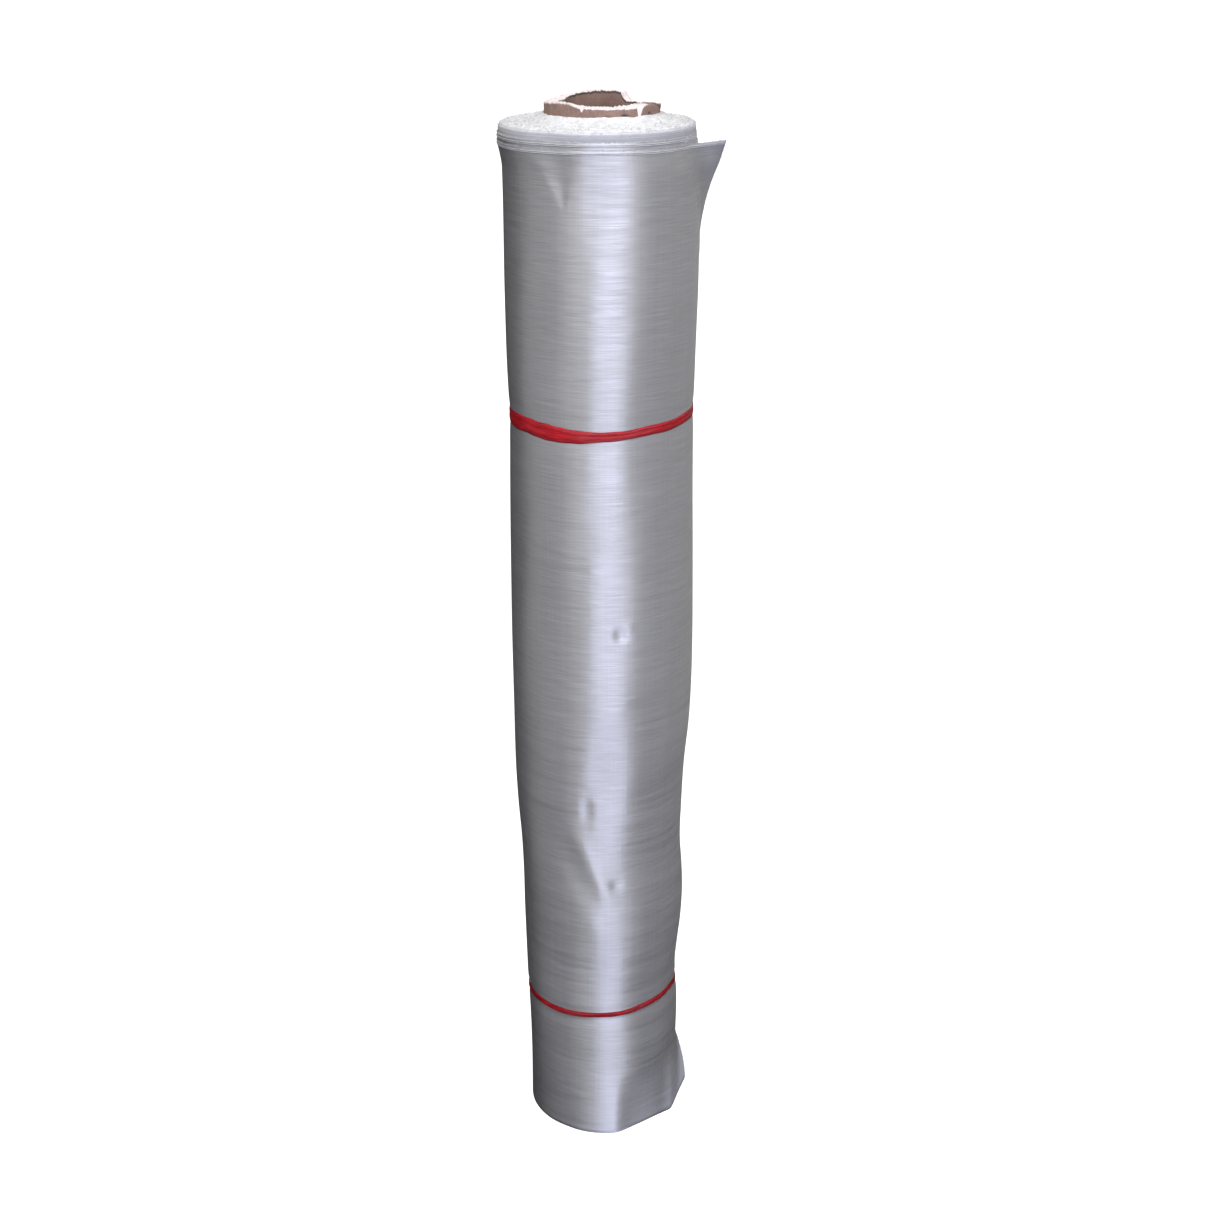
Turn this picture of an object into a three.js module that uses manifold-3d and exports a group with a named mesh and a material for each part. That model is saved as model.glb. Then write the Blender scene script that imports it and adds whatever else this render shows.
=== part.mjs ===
// A roll of woven glass cloth on a cardboard core, standing on its end and tied with two red bands.
// Millimetres, +Z up, floor at Z = 0. The front, with the top corner of the cloth's free end on its
// right, looks towards -Y. Angles go round the roll from the front (0) to its right side (90).
import * as THREE from 'three';
import { mergeVertices } from 'three/addons/utils/BufferGeometryUtils.js';
import Module from 'manifold-3d';

const DEGREE = Math.PI / 180;

// Cardboard core: a three-inch tube with a torn top rim.
const coreBore = 76;
const coreWall = 12;
const coreStickOut = 21; // highest torn point above the cloth's rim
const coreFitGap = 0.3; // between the core and the first turn

// Cloth: its woven width is the roll's height.
const clothWidth = 1000;
const footRadius = 74.5; // tight windings where the roll stands
const lowerPinchRadius = 75.6; // under the lower band
const bulgeRadius = 86.6; // slack outer turns between the bands
const upperPinchRadius = 85.0; // under the upper band
const shoulderRadius = 87.4; // slack outer turns above the upper band
const rimFlare = 1; // they open this much at their top edge
const rimLean = 4.3; // and lean this far to the left
const leanStart = 960; // height where the lean begins
const looseTurnStep = 0.6; // each slack turn stands this far outside the next
const outerTurnTop = 985; // top edge of the last turn
const secondTurnTop = 992; // top edge of the turn under it
const rimRound = 6; // rounding of the windings' top rim
const telescope = 5.5; // the first turns stand this much higher than the last
const telescopeSpan = 14; // radial width over which they do
const turnGrooves = 5; // gaps between groups of turns, on each end
const grooveWidth = 1.6;
const grooveDepth = 1.1;

// Bands: flat ribbon above, bunched ribbon below.
const bandGap = 0.4; // between a band and the cloth
const upperBand = { height: 747, width: 11, thickness: 0.9, tilt: 10, lowest: -6 };
const lowerBand = { height: 143, width: 4.6, thickness: 1.6, tilt: 4.2, lowest: -35 };
const seatMargin = 1; // the cloth stays straight this far past a band's edges

const segments = 64; // sides of every round piece

const coreRadius = coreBore / 2 + coreWall;
const firstTurnRadius = coreRadius + coreFitGap;

// Free end of the cloth: a straight cut edge down the roll's right side. Its corners peel off the
// roll above the upper band and below the lower one. A flap's length fades from edge to root.
const cutEdgeArc = 140; // along the last turn, from the front to the cut edge
const flapThickness = 1.2;
const topCorner = { edge: outerTurnTop, root: 868, length: 48, bend: 21, knee: 12, fullness: 1, fall: 1.5 };
const footCorner = { edge: 0, root: 46, length: 62, bend: -12, knee: 10, fullness: 2, fall: 0.6 };

// Dents and bulges of the slack turns: each swells the cloth by its push, fading over its spans.
const dents = [
  { angle: 88, height: 335, push: -4.6, angleSpan: 42, heightSpan: 62 },
  { angle: 88, height: 240, push: 2.8, angleSpan: 40, heightSpan: 30 },
  { angle: 88, height: 165, push: -2.2, angleSpan: 34, heightSpan: 20 },
  { angle: -8, height: 372, push: -2.4, angleSpan: 12, heightSpan: 26 },
  { angle: -14, height: 318, push: 2.2, angleSpan: 16, heightSpan: 20 },
  { angle: 13, height: 0, push: 3.2, angleSpan: 11, heightSpan: 40 },
  { angle: 38, height: 0, push: -2.6, angleSpan: 15, heightSpan: 40 },
  { angle: 63, height: 0, push: 4.2, angleSpan: 12, heightSpan: 38 },
];

// How far the core's torn rim lies below its highest point, at angles round the roll.
const tornRim = [
  [-180, 0],
  [-165, 0.5],
  [-150, 2],
  [-120, 6.3],
  [-90, 7.8],
  [-70, 6],
  [-46, 4.4],
  [-34, 4.5],
  [-27, 9.5],
  [-20, 7.5],
  [0, 7],
  [38, 7],
  [44, 9.5],
  [50, 6],
  [70, 6],
  [96, 8.5],
  [122, 9.2],
  [146, 9],
  [154, 0.5],
  [180, 0],
];

const wasm = await Module();
wasm.setup();

// The angle of a point round the roll, in degrees from the front.
const angleOf = (x, y) => Math.atan2(x, -y) / DEGREE;

// The short way from one angle to another.
const turnBetween = (a, b) => THREE.MathUtils.euclideanModulo(a - b + 180, 360) - 180;

// The height range that a band and its tilt cover.
const seatOf = (band) => {
  const half = band.width / 2 + band.tilt + seatMargin;
  return { low: band.height - half, middle: band.height, high: band.height + half };
};
const lowerSeat = seatOf(lowerBand);
const upperSeat = seatOf(upperBand);
const seats = [lowerSeat, upperSeat];

// How far the dents push the cloth out. A band's seat moves as one.
const dentPush = (angle, height) => {
  const seat = seats.find((s) => height >= s.low && height <= s.high);
  const level = seat ? seat.middle : height;
  return dents.reduce((sum, dent) => {
    const across = turnBetween(angle, dent.angle) / dent.angleSpan;
    const along = (level - dent.height) / dent.heightSpan;
    return sum + dent.push * Math.exp(-across * across - along * along);
  }, 0);
};

// Turned outline of the last turn, from the floor to its top edge. It swells from the lower band to
// the slack part, and is pinched again under the upper band.
const swell = [
  { along: 0.13, share: 0.25 },
  { along: 0.26, share: 0.45 },
  { along: 0.39, share: 0.85 },
  { along: 0.57, share: 1 },
  { along: 0.72, share: 1 },
];
const sideCurve = new THREE.SplineCurve([
  new THREE.Vector2(lowerPinchRadius, lowerSeat.high),
  ...swell.map(({ along, share }) => {
    const radius = THREE.MathUtils.lerp(lowerPinchRadius, bulgeRadius, share);
    return new THREE.Vector2(radius, THREE.MathUtils.lerp(lowerSeat.high, upperSeat.low, along));
  }),
  new THREE.Vector2(upperPinchRadius, upperSeat.low),
]);
const shoulderCurve = new THREE.SplineCurve([
  new THREE.Vector2(upperPinchRadius, upperSeat.high),
  new THREE.Vector2(shoulderRadius, THREE.MathUtils.lerp(upperSeat.high, leanStart, 0.45)),
  new THREE.Vector2(shoulderRadius, leanStart),
  new THREE.Vector2(shoulderRadius + rimFlare, outerTurnTop),
]);
const sideOutline = [
  new THREE.Vector2(footRadius, 0),
  new THREE.Vector2(footRadius, lowerSeat.low * 0.22),
  new THREE.Vector2(footRadius, lowerSeat.low * 0.48),
  new THREE.Vector2(lowerPinchRadius, lowerSeat.low),
  ...sideCurve.getPoints(14),
  ...shoulderCurve.getPoints(9),
];

// The side's turned radius at any height.
const sideRadius = (height) => {
  const above = sideOutline.findIndex((p) => p.y >= height);
  if (above <= 0) return sideOutline.at(above).x;
  const [low, high] = [sideOutline[above - 1], sideOutline[above]];
  return THREE.MathUtils.mapLinear(height, low.y, high.y, low.x, high.x);
};

// A ring of points across one end of the roll, from the core outwards, with a groove between groups of turns.
const endRing = (outerRadius, level, into) => {
  const pitch = (outerRadius - firstTurnRadius) / (turnGrooves + 1);
  const rise = (radius) =>
    telescope * (1 - THREE.MathUtils.smoothstep(radius, firstTurnRadius, firstTurnRadius + telescopeSpan));
  const at = (radius, cut) => new THREE.Vector2(radius, level + rise(radius) + into * cut);
  const ring = [at(firstTurnRadius, 0)];
  for (let turn = 1; turn <= turnGrooves; turn++) {
    const middle = firstTurnRadius + pitch * turn;
    ring.push(at(middle - grooveWidth / 2, 0), at(middle, grooveDepth), at(middle + grooveWidth / 2, 0));
  }
  return ring;
};

// Turns a closed outline of (radius, height) points about +Z.
const turned = (outline) => {
  const lathe = new THREE.LatheGeometry([...outline, outline[0]], segments);
  return lathe.rotateX(Math.PI / 2);
};

// Moves every point of a turned piece by a function of its angle, radius and height.
const reshape = (geometry, move) => {
  const position = geometry.attributes.position;
  for (let i = 0; i < position.count; i++) {
    const [x, y, z] = [position.getX(i), position.getY(i), position.getZ(i)];
    const to = move(angleOf(x, y), Math.hypot(x, y), z);
    const direction = Math.atan2(y, x);
    position.setXYZ(
      i,
      to.radius * Math.cos(direction) + (to.shift ?? 0),
      to.radius * Math.sin(direction),
      to.height ?? z,
    );
  }
  return geometry;
};

const toSolid = (geometry) => {
  const bare = new THREE.BufferGeometry();
  bare.setAttribute('position', geometry.getAttribute('position'));
  bare.setIndex(geometry.index);
  const merged = mergeVertices(bare, 1e-3);
  return new wasm.Manifold(
    new wasm.Mesh({
      numProp: 3,
      vertProperties: merged.attributes.position.array,
      triVerts: new Uint32Array(merged.index.array),
    }),
  );
};

const toGeometry = (solid) => {
  const mesh = solid.getMesh();
  const geometry = new THREE.BufferGeometry();
  geometry.setAttribute('position', new THREE.BufferAttribute(mesh.vertProperties, 3));
  geometry.setIndex(new THREE.BufferAttribute(mesh.triVerts, 1));
  geometry.computeVertexNormals();
  return geometry;
};

// A closed thin shell over a grid of points: outer(u, v) and inner(u, v), with u and v from 0 to 1.
const shell = (outer, inner, across, along) => {
  const points = [];
  for (const side of [outer, inner])
    for (let row = 0; row <= along; row++)
      for (let column = 0; column <= across; column++)
        points.push(...side(column / across, row / along));
  const layer = (across + 1) * (along + 1);
  const index = [];
  const quad = (a, b, c, d) => index.push(a, b, c, a, c, d);
  const at = (row, column) => row * (across + 1) + column;
  for (let row = 0; row < along; row++)
    for (let column = 0; column < across; column++) {
      const corners = [at(row, column), at(row, column + 1), at(row + 1, column + 1), at(row + 1, column)];
      quad(...corners);
      quad(...corners.reverse().map((corner) => corner + layer));
    }
  const border = [];
  for (let column = 0; column < across; column++) border.push(at(0, column));
  for (let row = 0; row < along; row++) border.push(at(row, across));
  for (let column = across; column > 0; column--) border.push(at(along, column));
  for (let row = along; row > 0; row--) border.push(at(row, 0));
  border.forEach((from, i) => {
    const to = border[(i + 1) % border.length];
    quad(from, from + layer, to + layer, to);
  });
  const geometry = new THREE.BufferGeometry();
  geometry.setAttribute('position', new THREE.Float32BufferAttribute(points, 3));
  geometry.setIndex(index);
  return geometry;
};

// The windings' top rim leans to the left, its outer turns most.
const leanOf = (radius, height) => {
  const outwards = (radius - firstTurnRadius) / (shoulderRadius - firstTurnRadius);
  const share = THREE.MathUtils.clamp(outwards, 0, 1) ** 3;
  return -rimLean * share * THREE.MathUtils.smoothstep(height, leanStart, secondTurnTop);
};

// A free corner of the cloth: it leaves the roll along a tangent, bends over its knee and runs on
// straight to the cut edge.
const cornerFlap = (corner) => {
  const hidden = 6; // part of the flap that stays inside the windings
  const least = 3; // flap length at the root
  const place = (u, v, depth) => {
    const height = THREE.MathUtils.lerp(corner.edge, corner.root, v);
    const share = (1 - v ** corner.fullness) ** corner.fall;
    const length = least + (corner.length - least) * share;
    const bodyRadius = sideRadius(height);
    const leave = (cutEdgeArc - length) / bodyRadius;
    const pushed = bodyRadius + dentPush(leave / DEGREE, height);
    const lean = leanOf(pushed, height);
    const along = u * (hidden + length) - hidden;
    if (along <= 0) {
      const angle = leave + along / bodyRadius;
      const radius = pushed - depth + (along / hidden) * 2;
      return [radius * Math.sin(angle) + lean, -radius * Math.cos(angle), height];
    }
    const curved = Math.min(along, corner.knee);
    const turn = corner.bend * Math.sqrt(1 - v) * (curved / corner.knee) * DEGREE;
    const [chord, run] = [leave - turn / 2, leave - turn];
    const x = pushed * Math.sin(leave) + curved * Math.cos(chord) + (along - curved) * Math.cos(run);
    const y = -pushed * Math.cos(leave) + curved * Math.sin(chord) + (along - curved) * Math.sin(run);
    return [x - depth * Math.sin(run) + lean, y + depth * Math.cos(run), height];
  };
  const flip = corner.root > corner.edge ? (u) => u : (u) => 1 - u;
  return shell(
    (u, v) => place(flip(u), v, 0),
    (u, v) => place(flip(u), v, flapThickness),
    14,
    12,
  );
};

// The cloth as one solid: windings, the steps of its two slack turns at the top, and its free corners.
const makeCloth = () => {
  const secondRadius = shoulderRadius + rimFlare - looseTurnStep;
  const rimRadius = secondRadius - looseTurnStep;
  const rimArc = [0, 30, 60, 90].map((angle) => {
    const inset = rimRound * (1 - Math.cos(angle * DEGREE));
    return new THREE.Vector2(rimRadius - inset, clothWidth - rimRound * (1 - Math.sin(angle * DEGREE)));
  });
  const outline = [
    ...endRing(footRadius, 0, 1),
    ...sideOutline,
    new THREE.Vector2(secondRadius, outerTurnTop),
    new THREE.Vector2(secondRadius, secondTurnTop),
    new THREE.Vector2(rimRadius, secondTurnTop),
    ...rimArc,
    ...endRing(rimRadius - rimRound, clothWidth, -1).reverse(),
  ];
  const body = reshape(turned(outline), (angle, radius, height) => {
    const outwards = (radius - firstTurnRadius) / (sideRadius(height) - firstTurnRadius);
    const share = THREE.MathUtils.clamp(outwards, 0, 1) ** 3;
    return { radius: radius + share * dentPush(angle, height), shift: leanOf(radius, height) };
  });
  const solids = [body, cornerFlap(topCorner), cornerFlap(footCorner)].map(toSolid);
  return toGeometry(solids.reduce((whole, piece) => whole.add(piece)));
};

// Drop of the core's torn rim at an angle, straight between the listed points.
const rimDrop = (angle) => {
  const next = tornRim.findIndex(([at]) => at >= angle);
  if (next <= 0) return tornRim[0][1];
  const [[fromAngle, fromDrop], [toAngle, toDrop]] = [tornRim[next - 1], tornRim[next]];
  return THREE.MathUtils.mapLinear(angle, fromAngle, toAngle, fromDrop, toDrop);
};

const makeCore = () => {
  const top = clothWidth + coreStickOut;
  const outline = [
    new THREE.Vector2(coreBore / 2, 0),
    new THREE.Vector2(coreRadius, 0),
    new THREE.Vector2(coreRadius, top),
    new THREE.Vector2(coreBore / 2, top),
  ];
  return reshape(turned(outline), (angle, radius, height) => ({
    radius,
    height: height > clothWidth ? height - rimDrop(angle) : height,
  }));
};

// A band round the cloth: it follows the cloth's section at its height, and dips on one side.
const makeBand = (band) => {
  const half = band.width / 2;
  const seatRadius = sideRadius(band.height);
  const inner = seatRadius + bandGap;
  const outline = [
    new THREE.Vector2(inner, band.height - half),
    new THREE.Vector2(inner + band.thickness, band.height - half * 0.8),
    new THREE.Vector2(inner + band.thickness, band.height + half * 0.8),
    new THREE.Vector2(inner, band.height + half),
  ];
  return reshape(turned(outline), (angle, radius, height) => ({
    radius: radius + dentPush(angle, band.height),
    height: height - band.tilt * Math.cos((angle - band.lowest) * DEGREE),
  }));
};

const material = (color, roughness, metalness) =>
  new THREE.MeshStandardMaterial({ color, roughness, metalness });
const cardboard = material(0x9c8274, 0.85, 0);
const glassCloth = material(0xc9cad2, 0.42, 0.35);
const redRibbon = material(0xa81d26, 0.35, 0);

const roll = new THREE.Group();
const pieces = [
  ['core_tube', makeCore(), cardboard],
  ['cloth_roll', makeCloth(), glassCloth],
  ['upper_band', makeBand(upperBand), redRibbon],
  ['lower_band', makeBand(lowerBand), redRibbon],
];
for (const [name, geometry, finish] of pieces) {
  const mesh = new THREE.Mesh(geometry, finish);
  mesh.name = name;
  roll.add(mesh);
}

// The frame's origin is under the middle of the whole part, free corners included.
const middle = new THREE.Box3().setFromObject(roll).getCenter(new THREE.Vector3());
roll.position.set(-middle.x, -middle.y, 0);

const part = new THREE.Group();
part.add(roll);

export default part;
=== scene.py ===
"""A roll of woven glass cloth on a torn cardboard core, standing on its end and tied with two red ribbons.

Lengths are in metres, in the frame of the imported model: +Z up, the floor at Z = 0, the front towards -Y.
Angles go round the roll in degrees, from the front (0) to the right side (90). "Arc" is a length along the
cloth's last turn from the front, positive to the right. The cut edge lies at one arc all the way down.
"""

import logging
import math
from collections.abc import Sequence
from dataclasses import dataclass
from enum import Enum
from functools import partialmethod

import bpy
import numpy as np
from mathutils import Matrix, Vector


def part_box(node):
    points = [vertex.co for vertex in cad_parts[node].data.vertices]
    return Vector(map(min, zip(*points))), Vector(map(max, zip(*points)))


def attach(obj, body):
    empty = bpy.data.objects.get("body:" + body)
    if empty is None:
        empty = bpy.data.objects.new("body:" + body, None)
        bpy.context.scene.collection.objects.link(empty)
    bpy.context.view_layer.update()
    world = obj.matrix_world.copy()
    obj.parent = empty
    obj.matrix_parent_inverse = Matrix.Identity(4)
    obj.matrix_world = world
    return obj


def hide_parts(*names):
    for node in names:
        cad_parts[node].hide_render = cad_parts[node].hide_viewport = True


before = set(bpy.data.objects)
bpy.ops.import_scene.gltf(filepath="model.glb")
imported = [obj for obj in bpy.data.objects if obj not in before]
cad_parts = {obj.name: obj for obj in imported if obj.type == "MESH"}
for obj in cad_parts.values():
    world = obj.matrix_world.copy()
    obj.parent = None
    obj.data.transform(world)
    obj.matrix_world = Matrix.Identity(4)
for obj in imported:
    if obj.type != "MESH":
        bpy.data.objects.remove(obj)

Array = np.ndarray
Field = Array | float
Pair = tuple[float, float]
Triple = tuple[float, float, float]
Knots = Sequence[Pair]
Piece = bpy.types.Object
Material = bpy.types.Material
Socket = bpy.types.NodeSocket

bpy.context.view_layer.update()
BODY = "root"
MM = 0.001
FULL_TURN = 360.0
CLOTH_THICKNESS = 0.00032
MEAN_RADIUS = 0.084
POINTED = 1e-6  # radius of a thread's end
SLANT = (0.31, 0.17, 0.93)  # any way that no yarn end runs along
log = logging.getLogger("glass_cloth_roll")


class Slot(Enum):
    """Material slots of the record."""

    CARDBOARD = "cardboard"
    CLOTH = "glass_cloth"
    RIBBON = "red_ribbon"


class Seam(Enum):
    """Which ways a grid of points closes on itself."""

    OPEN = (False, False)
    ROUND = (True, False)
    RING = (True, True)


def through(knots: Knots, at: Field) -> Array:
    """Smooth curve through knots: cubic pieces that share the slope measured across each knot.

    Args:
        knots: (position, value) pairs, positions rising.
        at: positions to read.

    Returns:
        The curve's values, held constant past its ends.
    """
    x, y = np.array(knots, float).T
    slope = np.gradient(y, x)
    at = np.clip(np.asarray(at, float), x[0], x[-1])
    i = np.clip(np.searchsorted(x, at) - 1, 0, len(x) - 2)
    span = x[i + 1] - x[i]
    t = (at - x[i]) / span
    start = (1 + 2 * t) * (1 - t) ** 2 * y[i] + t * (1 - t) ** 2 * span * slope[i]
    end = t**2 * (3 - 2 * t) * y[i + 1] - t**2 * (1 - t) * span * slope[i + 1]
    return start + end


def straight(knots: Knots, at: Array) -> Array:
    """Straight lines through knots."""
    return np.interp(at, *np.array(knots).T)


def spaced(steps: Knots, last: float) -> Array:
    """Places that rise by each step from its own start to the next one's, and a last one.

    Args:
        steps: (start, step) pairs, starts rising.
        last: the last place.

    Returns:
        The places, without any that lies less than 1 mm below the next.
    """
    stops = [start for start, _ in steps[1:]] + [last]
    runs = [np.arange(start, stop, step) for (start, step), stop in zip(steps, stops)]
    places = np.append(np.concatenate(runs), last)
    return places[np.append(np.diff(places) > MM, True)]


def fade(low: float, high: float, at: Field) -> Array:
    """Smooth step from 0 at low to 1 at high, whichever of them is larger."""
    t = np.clip((np.asarray(at, float) - low) / (high - low), 0, 1)
    return t * t * (3 - 2 * t)


def bell(distance: Array, span: float) -> Array:
    """Bell curve: 1 at no distance, fading over the span."""
    return np.exp(-((distance / span) ** 2))


def wrap(angle: Field) -> Array:
    """The same angle between -180 and 180 degrees."""
    return (np.asarray(angle, float) + 180) % FULL_TURN - 180


@dataclass(frozen=True)
class Ripple:
    """Seamless soft noise: the mean of sine waves that cross space in seeded directions.

    The wavelengths run from the longest to the shortest in equal ratios.
    """

    size: float
    seed: int
    longest: float
    shortest: float
    count: int = 14

    def at(self, points: Array) -> Array:
        """Noise of about the ripple's size, at places with x, y, z in the last axis."""
        draw = np.random.default_rng(self.seed)
        way = draw.normal(size=(self.count, 3))
        way /= np.linalg.norm(way, axis=1, keepdims=True)
        length = np.geomspace(self.longest, self.shortest, self.count)
        phase = draw.uniform(0, 2 * np.pi, self.count)
        turns = points @ (way / length[:, None]).T
        return self.size * np.sin(turns * 2 * np.pi + phase).sum(-1) / math.sqrt(self.count / 2)


def direction(angle: Array) -> Array:
    """Unit vectors that point away from the roll's axis at the given angles."""
    turn = np.radians(angle)
    return np.stack([np.sin(turn), -np.cos(turn), np.zeros_like(turn)], -1)


def round_axis(axis: Sequence[Field], angle: Array, radius: Field, height: Field) -> Array:
    """Points at cylinder coordinates round an upright axis."""
    foot = np.stack(np.broadcast_arrays(axis[0], axis[1], height), -1)
    return direction(angle) * np.asarray(radius)[..., None] + foot


def even_angles(count: int) -> Array:
    """Angles once round the roll, from the back, without the last one that closes the circle."""
    return np.linspace(-180, 180, count, endpoint=False)


def ring(side: Array, up: Array, turn: Array) -> Array:
    """Unit vectors at the given turns, in radians, in the plane of each pair of vectors."""
    return side[:, None] * np.cos(turn)[None, :, None] + up[:, None] * np.sin(turn)[None, :, None]


def tangent(angle: Array) -> Array:
    """Unit vectors along the roll's skin, towards growing angles."""
    return direction(np.asarray(angle) + 90)


def smooth_object(name: str, points: Array, faces: Array) -> Piece:
    """Makes an object with smooth shading from points and faces.

    Args:
        name: the object's name.
        points: (n, 3) places.
        faces: (m, 3 or 4) indices of points.

    Returns:
        The linked object.
    """
    mesh = bpy.data.meshes.new(name)
    mesh.from_pydata(points.tolist(), [], faces.tolist())
    mesh.shade_smooth()
    piece = bpy.data.objects.new(name, mesh)
    bpy.context.scene.collection.objects.link(piece)
    return piece


def grid_faces(rows: int, columns: int, seam: Seam) -> tuple[Array, Array, Array]:
    """Four-sided faces of a grid of points that is stored row by row.

    Args:
        rows: number of rows of points.
        columns: number of points in a row.
        seam: whether the columns, and the rows, close on themselves.

    Returns:
        The faces, and each face's row and column.
    """
    closed_columns, closed_rows = seam.value
    row, column = np.meshgrid(
        np.arange(rows if closed_rows else rows - 1),
        np.arange(columns if closed_columns else columns - 1),
        indexing="ij",
    )
    row, column = row.ravel(), column.ravel()
    up, right = (row + 1) % rows, (column + 1) % columns
    corners = [row * columns + column, row * columns + right, up * columns + right, up * columns + column]
    return np.stack(corners, -1), row, column


def grid_object(
    name: str,
    points: Array,
    seam: Seam,
    uv: Array | None = None,
    marks: dict[str, Array] | None = None,
) -> Piece:
    """Makes a surface from a grid of points; seen from outside, columns run right and rows run up.

    Args:
        name: the object's name.
        points: (rows, columns, 3) places.
        seam: how the grid closes.
        uv: (rows + 1, columns + 1, 2) map, or one row or column less where the grid is open.
        marks: numbers per point, kept as attributes for the material.

    Returns:
        The linked object.
    """
    rows, columns = points.shape[:2]
    faces, row, column = grid_faces(rows, columns, seam)
    piece = smooth_object(name, points.reshape(-1, 3), faces)
    if uv is not None:
        corner = np.stack(
            [uv[row, column], uv[row, column + 1], uv[row + 1, column + 1], uv[row + 1, column]], axis=1
        )
        layer = piece.data.uv_layers.new(name="cloth")
        layer.data.foreach_set("uv", corner.astype(np.float32).ravel())
    for mark, values in (marks or {}).items():
        made = piece.data.attributes.new(mark, "FLOAT", "POINT")
        made.data.foreach_set("value", np.broadcast_to(values, (rows, columns)).astype(np.float32).ravel())
    return piece


def frames(path: Array, closed: bool) -> tuple[Array, Array]:
    """Side and up vectors along a path that never runs straight up.

    Args:
        path: (n, 3) points.
        closed: whether the last point joins the first.

    Returns:
        Unit vectors across the path and level, and at right angles to both.
    """
    if closed:
        along = np.roll(path, -1, 0) - np.roll(path, 1, 0)
    else:
        along = np.gradient(path, axis=0)
    along /= np.linalg.norm(along, axis=1, keepdims=True)
    side = np.cross(along, [0.0, 0.0, 1.0])
    side /= np.linalg.norm(side, axis=1, keepdims=True)
    return side, np.cross(side, along)


def tube(name: str, path: Array, radius: float, sides: int, closed: bool) -> Piece:
    """Carries a circle along a path.

    Args:
        name: the object's name.
        path: (n, 3) points.
        radius: of the tube.
        sides: of the circle.
        closed: whether the path closes on itself; open tubes taper to a point at both ends.

    Returns:
        The linked object.
    """
    side, up = frames(path, closed)
    size = np.full(len(path), radius)
    if not closed:
        size[[0, -1]] = POINTED
    circle = ring(side, -up, np.linspace(0, 2 * np.pi, sides, endpoint=False))
    points = path[:, None] + circle * size[:, None, None]
    return grid_object(name, points, Seam.RING if closed else Seam.ROUND)


def tufts(name: str, roots: Array, tips: Array, bows: Array, radius: float) -> Piece:
    """Many short bowed yarn ends, each a tapered three-sided spike with a closed foot.

    A yarn end has three points round its foot, three round its middle and one at its tip. Its middle lies
    halfway from root to tip, pushed by its bow.

    Args:
        name: the object's name.
        roots: (n, 3) feet.
        tips: (n, 3) free ends.
        bows: (n, 3) pushes of the middles.
        radius: at the foot.

    Returns:
        One linked object with all of them.
    """
    run = tips - roots
    aside = np.cross(run, SLANT)
    aside /= np.linalg.norm(aside, axis=1, keepdims=True)
    other = np.cross(run, aside)
    other /= np.linalg.norm(other, axis=1, keepdims=True)
    circle = ring(aside, other, np.radians([0, 120, 240]))
    foot = roots[:, None] + circle * radius
    middle = ((roots + tips) / 2 + bows)[:, None] + circle * radius * 0.7
    points = np.concatenate([foot, middle, tips[:, None]], axis=1)
    sides = [[0, 1, 4], [0, 4, 3], [1, 2, 5], [1, 5, 4], [2, 0, 3], [2, 3, 5]]
    ends = [[3, 4, 6], [4, 5, 6], [5, 3, 6], [2, 1, 0]]
    faces = np.arange(len(roots))[:, None, None] * points.shape[1] + np.array(sides + ends)[None]
    return smooth_object(name, points.reshape(-1, 3), faces.reshape(-1, 3))


@dataclass(frozen=True)
class Fringe:
    """Random yarn ends: their reach, how much they lean and bow, and their radius."""

    reach: Pair
    lean: float
    bow: float
    yarn: float = 0.00018

    def grow(
        self,
        name: str,
        draw: np.random.Generator,
        roots: Array,
        way: Field = 0.0,
        rise: Field | None = None,
        sunk: Field = 0.0,
    ) -> Piece:
        """Makes the yarn ends.

        Args:
            name: the object's name.
            draw: source of the random numbers.
            roots: (n, 3) places where they leave the cloth.
            way: that they run on average.
            rise: upright part of their way, if it isn't random.
            sunk: how far their feet lie back from the roots.

        Returns:
            One linked object with all of them.
        """
        reach = draw.uniform(*self.reach, len(roots))
        run = draw.normal(0, self.lean, roots.shape) + way
        if rise is not None:
            run[:, 2] = rise
        bows = draw.normal(0, self.bow, roots.shape)
        return tufts(name, roots - sunk, roots + run * reach[:, None], bows, self.yarn)


@dataclass(frozen=True)
class Value:
    """A number that varies over a surface: arithmetic on it adds Math nodes."""

    nodes: "Nodes"
    socket: Socket

    def apply(self, operation: str, *others: "Value | float") -> "Value":
        """This value and others, put through one Math node."""
        return self.nodes.math(operation, self, *others)

    __add__ = __radd__ = partialmethod(apply, "ADD")
    __mul__ = __rmul__ = partialmethod(apply, "MULTIPLY")
    __sub__ = partialmethod(apply, "SUBTRACT")
    __truediv__ = partialmethod(apply, "DIVIDE")

    def __rsub__(self, other: float) -> "Value":
        """A number less this value."""
        return self.nodes.math("SUBTRACT", other, self)

    def held(self) -> "Value":
        """The value held between 0 and 1."""
        return self.apply("MAXIMUM", 0.0).apply("MINIMUM", 1.0)

    def step(self, low: float, high: float) -> "Value":
        """Smooth step from 0 at low to 1 at high."""
        made = self.nodes.add(
            "ShaderNodeMapRange",
            {"interpolation_type": "SMOOTHSTEP"},
            {"Value": self, "From Min": low, "From Max": high},
        )
        return Value(self.nodes, made.outputs["Result"])


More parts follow.
